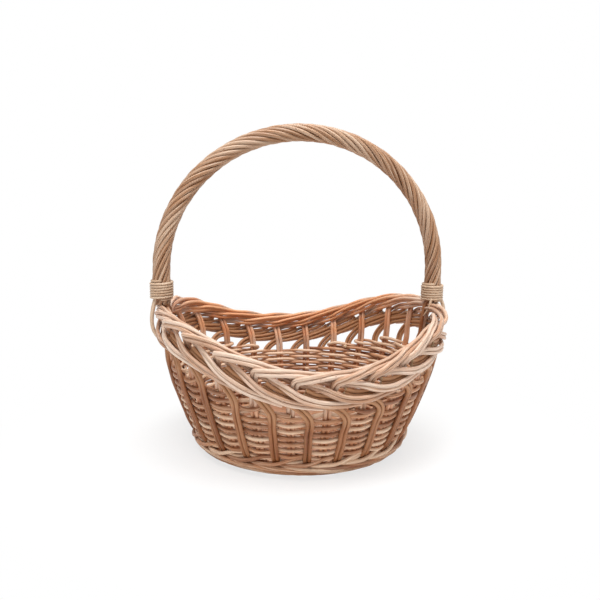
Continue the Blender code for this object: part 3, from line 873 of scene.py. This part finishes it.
def base_rounds():
    """Two weavers that run outwards over and under the sticks in turn."""
    rounds = Rods()
    ends = 4 * STICKS_EACH_WAY
    for weaver in (0, 1):
        points = []
        step = 0
        radius = BASE_EYE
        while radius < BASE_REACH - ROUND_END_MARGIN:
            angle = 2 * math.pi * (step / 2 + 0.5) / ends
            height = base_middle(radius)
            if step % 2 == 0:
                height += ROUND_SWING if (step // 2 + weaver) % 2 == 0 else -ROUND_SWING
            wander = drawn.uniform(-ROUND_UNEVEN, ROUND_UNEVEN) * MM
            spot = min(radius + wander + weaver * ROUND_PITCH / 2, BASE_REACH - ROUND_EDGE_MARGIN)
            points.append((spot * math.cos(angle), spot * math.sin(angle), height))
            step += 1
            radius = BASE_EYE + ROUND_PITCH * step / (2 * ends)
        line = smooth_line(points, ROUND_SPACING)
        last = len(line) - 1
        begin = 0
        while begin < last:
            end = min(last, begin + drawn.randint(*ROUND_POINTS))
            if last + 1 - end < LAST_ROUND_POINTS:
                end = last
            piece = wobbled(line[begin:end + 1], *ROUND_WANDER)
            piece[:, 2] = np.maximum(piece[:, 2], ROUND_LEAST_HEIGHT)
            share = np.linspace(0, 1, end + 1 - begin)
            rounds.add(piece, (ROUND_ROD - ROUND_TAPER * share) * MM, sides=8, tint=ROUND_TONE)
            begin = end
    rounds.finish("base_rounds", WEAVE, "cream_willow", "base_weave")


# The bow's leg, which goes in behind the rim: height in metres, distance in from the handle's
# own line in mm and radius in mm.
LEG_FOOT = (
    (0.2100, 0.0, 6.0), (0.2020, 0.2, 6.0), (0.1960, 1.4, 5.8), (0.1905, 4.4, 5.2), (0.1855, 7.6, 4.2),
    (0.1780, 9.9, 3.0), (0.1680, 11.7, 2.6), (0.1550, 13.6, 2.5), (0.1400, 15.6, 2.4), (0.1250, 19.4, 2.3),
    (0.1120, 22.4, 2.2),
)
# The steps of the arch, the height where the roping ends, the radius of its rods, and point spacings.
ARCH_STEPS = 28
ROPING_LOW = 0.1905
ROPING_ROD = 2.42 * MM
ROPING_SPACING = 2.6 * MM
HANDLE_SPACING = 2 * MM
BOW_SPACING = 3 * MM
# How far a rod's turn may lie from its even place, as a share of a full turn, and half of its taper.
ROPING_UNEVEN = 0.006
ROPING_TAPER = 0.03
# Slow changes of each rod's turn, in radians, and of its distance from the middle, with their lengths.
TURN_DRIFT = (0.03, 0.19)
REACH_DRIFT = (0.2 * MM, 0.13)

# The bindings: hand, side, and the height of the lowest and the highest turn.
BINDINGS = (("left", -1, 0.1965, 0.2205), ("right", 1, 0.1900, 0.2130))
# The turns, the height where their line begins, the points of a turn, the line's points that run up the
# leg, and the cane's radius and distance from the handle's middle.
BINDING_TURNS = 7
BINDING_LINE_LOW = 0.180
TURN_POINTS = 22
LEG_POINTS = 60
CANE_RADIUS = 1.72 * MM
CANE_REACH = HANDLE_RADIUS + 2.3 * MM
# How far the cane's ends are tucked in, and over how many points.
CANE_TUCK = 3.6 * MM
TUCK_POINTS = 9

# The rods beside the rim: radius at both ends, then points, all in mm.
LEFT_TIES = (
    (2.9, 2.3, ((-187, -5, 200), (-189.4, -6, 192), (-191.4, -7, 183), (-192.6, -8, 173), (-192.0, -9, 163),
                (-189.4, -10, 155), (-185.6, -10, 149))),
)
RIGHT_TIES = (
    (2.2, 0.5, ((176, -11, 196), (174, -13.5, 190), (171.5, -14.5, 183), (167.5, -14, 175.5),
                (164.5, -13, 171))),
    (2.5, 2.2, ((188, -4, 197), (191.5, -5, 191), (194.5, -6, 183), (195.5, -6, 174), (194, -5, 164),
                (190, -4, 156))),
)
TIE_SPACING = 2.4 * MM


def handle_middle(below, spacing):
    """The handle's middle line, up the left leg, over the arch and down the right one."""
    spring = RIM_HIGH + HANDLE_LEG_LENGTH
    right = [(HANDLE_HALF_SPAN, 0.5 * (below[0][1] + spring))] + below
    left = [(-x, z) for x, z in right[::-1]]
    arch = []
    for step in range(ARCH_STEPS + 1):
        angle = math.pi * (1 - step / ARCH_STEPS)
        arch.append((HANDLE_HALF_SPAN * math.cos(angle), spring + HANDLE_RISE * math.sin(angle)))
    return smooth_line([(x, 0.0, z) for x, z in left + arch + right], spacing)


def around(line, distance, turn, reach):
    """Points that lie a reach away from a line in the X-Z plane, at a turn round it."""
    travelled = lengths_along(line)
    along = tangents(line)
    middle = np.stack([np.interp(distance, travelled, line[:, axis]) for axis in range(3)], axis=1)
    ahead = np.stack([np.interp(distance, travelled, along[:, axis]) for axis in range(3)], axis=1)
    ahead /= np.linalg.norm(ahead, axis=1)[:, None]
    side = np.cross(np.tile((0.0, 1.0, 0.0), (len(middle), 1)), ahead)
    out = np.cross(ahead, side)
    return middle + reach[:, None] * (np.cos(turn)[:, None] * side + np.sin(turn)[:, None] * out)


def handle_bow():
    """The bow inside the handle, whose ends go in behind the rim."""
    bow = Rods()
    legs = [(HANDLE_HALF_SPAN - inward * MM, height) for height, inward, _ in LEG_FOOT]
    line = handle_middle(legs, BOW_SPACING)
    upwards = LEG_FOOT[::-1]
    thick = np.interp(line[:, 2], [row[0] for row in upwards], [row[2] * MM for row in upwards])
    bow.add(line, thick, sides=14, tint=BOW_TONE)
    bow.finish("handle_core", TAN, "tan_willow", "handle_bow")


def handle_roping():
    """The rods laid round the bow with a steady twist, thick ends and thin ends by turns."""
    rods = Rods()
    line = handle_middle([(HANDLE_HALF_SPAN, ROPING_LOW)], HANDLE_SPACING)
    length = lengths_along(line)[-1]
    distance = np.arange(0.0, length, ROPING_SPACING)
    share = distance / length
    for rod in range(HANDLE_ROD_COUNT):
        thick = ROPING_ROD * drawn.uniform(*ROPING_THICKNESS)
        phase = rod / HANDLE_ROD_COUNT + drawn.uniform(-ROPING_UNEVEN, ROPING_UNEVEN)
        drift = drawn.uniform(0, 2 * math.pi)
        turn = 2 * math.pi * (phase + distance / HANDLE_TWIST_LENGTH)
        turn += TURN_DRIFT[0] * np.sin(2 * math.pi * distance / TURN_DRIFT[1] + drift)
        reach = HANDLE_RADIUS - ROPING_ROD
        reach = reach + REACH_DRIFT[0] * np.sin(2 * math.pi * distance / REACH_DRIFT[1] + drift * 3)
        extra = ROPING_TAPER * (1 - 2 * share)
        thick = thick * (1 + extra if rod % 2 else 1 - extra)
        rods.add(around(line, distance, turn, reach), thick, sides=12, tint=drawn.uniform(*ROPING_TONES))
    rods.finish("handle_rods", HANDLE, "tan_willow", "handle_roping")


def binding(hand, side, low, high):
    """A close winding of cane round a handle leg, with both ends tucked in."""
    rods = Rods()
    line = handle_middle([(HANDLE_HALF_SPAN, BINDING_LINE_LOW)], HANDLE_SPACING)
    if side > 0:
        line = line[::-1]
    # The line's first points run up this leg.
    leg = line[:LEG_POINTS]
    begin, finish = np.interp((low, high), leg[:, 2], lengths_along(leg))
    count = BINDING_TURNS * TURN_POINTS
    climb = np.linspace(begin, finish, count + 1)
    turn = 2 * math.pi * BINDING_TURNS * np.linspace(0, 1, count + 1) - 0.5 * math.pi
    steps = np.arange(count + 1)
    from_end = np.minimum(steps, count - steps) / TUCK_POINTS
    reach = CANE_REACH - CANE_TUCK * np.clip(1 - from_end, 0, 1)
    rods.add(wobbled(around(line, climb, turn, reach), *CANE_WANDER), CANE_RADIUS, tint=CANE_TONE)
    rods.finish(f"cane_binding_{hand}", PALE, "pale_willow", f"handle_binding_{hand}")


def tie(hand, paths):
    """The rods that come out under a binding and run down beside the rim."""
    rods = Rods()
    for first, last, points in paths:
        line = smooth_line([(x * MM, y * MM, z * MM) for x, y, z in points], TIE_SPACING)
        share = np.linspace(0, 1, len(line))
        rods.add(wobbled(line, *TIE_WANDER), (first + (last - first) * share) * MM, tint=TIE_TONE)
    rods.finish(f"tie_rod_{hand}", PALE, "pale_willow", f"handle_tie_{hand}")


# The floor's half width, colour, roughness and gloss. For the camera it is mixed with plain white, by a
# first share near the basket and fully past the second of two distances from the middle.
FLOOR_REACH = 14.0
FLOOR_COLOUR = (0.90, 0.895, 0.89, 1)
FLOOR_ROUGHNESS = 0.9
FLOOR_GLOSS = 0.1
WHITE_FROM = 0.13
WHITE_FULL = 0.42
WHITE_FIRST_SHARE = 0.72
# The strength of the world as a light. Where it is seen, its strength is 1.
WORLD_LIGHT = 0.42
# The lamps: name, place, size and power. They aim at a point over the middle of the floor.
LAMPS = (
    ("key", (-0.6, -0.9, 2.4), 1.0, 34.0),
    ("fill", (1.7, -1.2, 1.2), 1.4, 4.0),
    ("top", (0.3, -0.3, 2.5), 1.2, 40.0),
)
LAMP_AIM = (0, 0, 0.15)


def pale_floor():
    """The floor, which fades into white for the camera and keeps the basket's shadow."""
    mesh = bpy.data.meshes.new("floor")
    corners = [(x * FLOOR_REACH, y * FLOOR_REACH, 0) for x, y in ((-1, -1), (1, -1), (1, 1), (-1, 1))]
    mesh.from_pydata(corners, [], [(0, 1, 2, 3)])
    floor = bpy.data.objects.new("floor", mesh)
    bpy.context.scene.collection.objects.link(floor)
    material = bpy.data.materials.new("pale floor")
    material.use_nodes = True
    nodes = material.node_tree.nodes
    links = material.node_tree.links
    shader = nodes["Principled BSDF"]
    shader.inputs["Base Color"].default_value = FLOOR_COLOUR
    shader.inputs["Roughness"].default_value = FLOOR_ROUGHNESS
    shader.inputs["Specular IOR Level"].default_value = FLOOR_GLOSS
    white = add_node(nodes, "ShaderNodeEmission")
    white.inputs["Strength"].default_value = 1.0
    place = add_node(nodes, "ShaderNodeNewGeometry")
    distance = add_node(nodes, "ShaderNodeVectorMath", operation="LENGTH")
    links.new(place.outputs["Position"], distance.inputs[0])
    fade = add_node(nodes, "ShaderNodeMapRange", interpolation_type="SMOOTHSTEP")
    fade.inputs["From Min"].default_value = WHITE_FROM
    fade.inputs["From Max"].default_value = WHITE_FULL
    fade.inputs["To Min"].default_value = WHITE_FIRST_SHARE
    links.new(distance.outputs["Value"], fade.inputs["Value"])
    path = add_node(nodes, "ShaderNodeLightPath")
    seen = add_node(nodes, "ShaderNodeMath", operation="MULTIPLY")
    links.new(path.outputs["Is Camera Ray"], seen.inputs[0])
    links.new(fade.outputs["Result"], seen.inputs[1])
    blend = add_node(nodes, "ShaderNodeMixShader")
    links.new(seen.outputs["Value"], blend.inputs["Fac"])
    links.new(shader.outputs["BSDF"], blend.inputs[1])
    links.new(white.outputs["Emission"], blend.inputs[2])
    links.new(blend.outputs["Shader"], nodes["Material Output"].inputs["Surface"])
    mesh.materials.append(material)


def surroundings():
    """A white world for the camera, mirror and glass rays, and a soft light for the others."""
    world = bpy.data.worlds.new("studio")
    bpy.context.scene.world = world
    world.use_nodes = True
    nodes = world.node_tree.nodes
    links = world.node_tree.links
    back = nodes["Background"]
    back.inputs["Color"].default_value = (1, 1, 1, 1)
    path = add_node(nodes, "ShaderNodeLightPath")
    mirrored = add_node(nodes, "ShaderNodeMath", operation="MAXIMUM")
    links.new(path.outputs["Is Glossy Ray"], mirrored.inputs[0])
    links.new(path.outputs["Is Transmission Ray"], mirrored.inputs[1])
    seen = add_node(nodes, "ShaderNodeMath", operation="MAXIMUM")
    links.new(path.outputs["Is Camera Ray"], seen.inputs[0])
    links.new(mirrored.outputs["Value"], seen.inputs[1])
    strength = add_node(nodes, "ShaderNodeMapRange")
    strength.inputs["To Min"].default_value = WORLD_LIGHT
    strength.inputs["To Max"].default_value = 1.0
    links.new(seen.outputs["Value"], strength.inputs["Value"])
    links.new(strength.outputs["Result"], back.inputs["Strength"])


def lamps():
    """Soft lamps over the basket."""
    for name, spot, size, power in LAMPS:
        lamp = bpy.data.lights.new(name, "AREA")
        lamp.size = size
        lamp.energy = power
        thing = bpy.data.objects.new(name, lamp)
        bpy.context.scene.collection.objects.link(thing)
        thing.location = spot
        thing.rotation_euler = (Vector(LAMP_AIM) - Vector(spot)).to_track_quat("-Z", "Y").to_euler()


# The camera that the photograph was fitted with: its focal length in pixels, its distance from the
# basket's axis, its height and sideways slip, and its turns in radians.
PICTURE_WIDTH = 600
SENSOR_WIDTH = 36
FOCAL_PIXELS = 725.4326
CAMERA_DISTANCE = 0.9424
CAMERA_HEIGHT = 0.3534
CAMERA_SLIP = -0.0012
CAMERA_PITCH = 0.1692
CAMERA_YAW = 0.1664
CAMERA_ROLL = -0.0156


def camera():
    """The camera at the photograph's angle."""
    lens = bpy.data.cameras.new("camera")
    lens.sensor_width = SENSOR_WIDTH
    lens.lens = FOCAL_PIXELS * SENSOR_WIDTH / PICTURE_WIDTH
    thing = bpy.data.objects.new("camera", lens)
    bpy.context.scene.collection.objects.link(thing)
    turn = Matrix.Rotation(-CAMERA_YAW, 3, "Z")
    ahead = Vector((0, math.cos(CAMERA_PITCH), -math.sin(CAMERA_PITCH)))
    level_up = Vector((0, math.sin(CAMERA_PITCH), math.cos(CAMERA_PITCH)))
    level_right = Vector((1, 0, 0))
    right = math.cos(CAMERA_ROLL) * level_right - math.sin(CAMERA_ROLL) * level_up
    up = math.sin(CAMERA_ROLL) * level_right + math.cos(CAMERA_ROLL) * level_up
    axes = Matrix((turn @ right, turn @ up, turn @ -ahead)).transposed()
    place = turn @ Vector((CAMERA_SLIP, -CAMERA_DISTANCE, CAMERA_HEIGHT))
    thing.matrix_world = Matrix.Translation(place) @ axes.to_4x4()
    bpy.context.scene.camera = thing


inner_pairs()
outer_pairs()
side_weavers()
side_packing()
foot_strands()
base_spokes()
base_rounds()
handle_bow()
handle_roping()
for entry in BINDINGS:
    binding(*entry)
tie("left", LEFT_TIES)
tie("right", RIGHT_TIES)
pale_floor()
surroundings()
lamps()
camera()
bpy.context.scene.view_settings.view_transform = "Standard"
